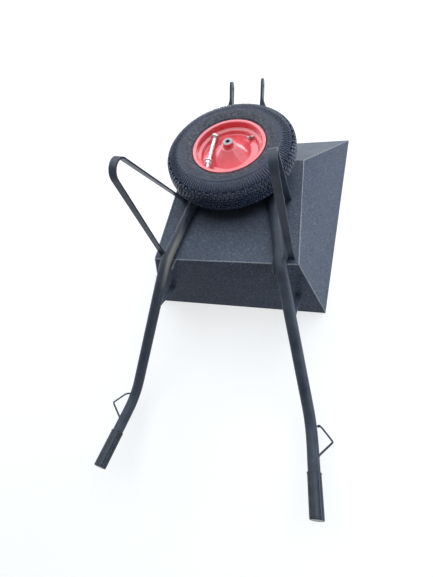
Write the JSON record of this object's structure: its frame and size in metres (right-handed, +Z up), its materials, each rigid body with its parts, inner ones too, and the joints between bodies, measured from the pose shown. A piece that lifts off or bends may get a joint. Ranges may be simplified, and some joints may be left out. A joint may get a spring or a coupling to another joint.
{
  "type": "wheelbarrow",
  "caption": "Single-wheel barrow turned upside down on its tray rim, wheel taken off and laid on the tube frame, loose axle bolt in the rim",
  "frame": {"origin": "on the floor that the tray rim stands on, under the middle of the whole object's box and on the barrow's plane of symmetry", "axes": "+Y from the grips towards the fork, +Z up from the floor (the tray is upside down), +X across"},
  "size_m": [0.735, 1.3908, 0.6516],
  "materials": {
    "tray_paint": "satin black brush paint over sheet steel, lightly speckled",
    "frame_paint": "satin black paint",
    "grip_rubber": "smooth black, slightly glossy",
    "tyre_rubber": "matt black with a grey bloom",
    "tube_rubber": "matt",
    "rim_paint": "gloss red",
    "zinc_plate": "bright zinc plate",
    "bearing_steel": "ground steel",
    "valve_metal": "dull nickelled brass"
  },
  "bodies": {
    "barrow": {"tray_bottom": "tray_paint", "tray_rear_wall": "tray_paint", "tray_front_wall": "tray_paint", "tray_right_wall": "tray_paint", "tray_left_wall": "tray_paint", "right_handle_tube": "frame_paint", "left_handle_tube": "frame_paint", "right_grip": "grip_rubber", "left_grip": "grip_rubber", "right_leg": "frame_paint", "left_leg": "frame_paint", "right_brace": "frame_paint", "left_brace": "frame_paint", "right_rope_hook": "frame_paint", "left_rope_hook": "frame_paint"},
    "wheel": {"tyre": "tyre_rubber", "inner_tube": "tube_rubber", "rim_upper_half": "rim_paint", "rim_lower_half": "rim_paint", "hub_barrel": "rim_paint", "upper_bearing_outer_ring": "bearing_steel", "lower_bearing_outer_ring": "bearing_steel", "upper_bearing_balls": "bearing_steel", "lower_bearing_balls": "bearing_steel", "upper_bearing_shields": "bearing_steel", "lower_bearing_shields": "bearing_steel", "valve_stem": "valve_metal", "valve_cap": "valve_metal"},
    "hub_core": {"upper_bearing_inner_ring": "bearing_steel", "lower_bearing_inner_ring": "bearing_steel", "axle_spacer": "zinc_plate"},
    "axle_bolt": {"axle_bolt": "zinc_plate", "axle_head_washer": "zinc_plate", "axle_nut_washer": "zinc_plate", "axle_nut": "zinc_plate"}
  },
  "joints": [
    {"name": "wheel_lift", "type": "slide", "parent": "barrow", "child": "wheel", "axis": [0, 0, 1], "range_m": [0, 0.4]},
    {"name": "wheel_spin", "type": "hinge", "parent": "wheel", "child": "hub_core", "pos_m": [-0.016, 0.23094, 0.3704], "axis": [0, 0, 1], "continuous": true},
    {"name": "axle_bolt_lift", "type": "slide", "parent": "wheel", "child": "axle_bolt", "axis": [0, 0, 1], "range_m": [0, 0.35]}
  ]
}
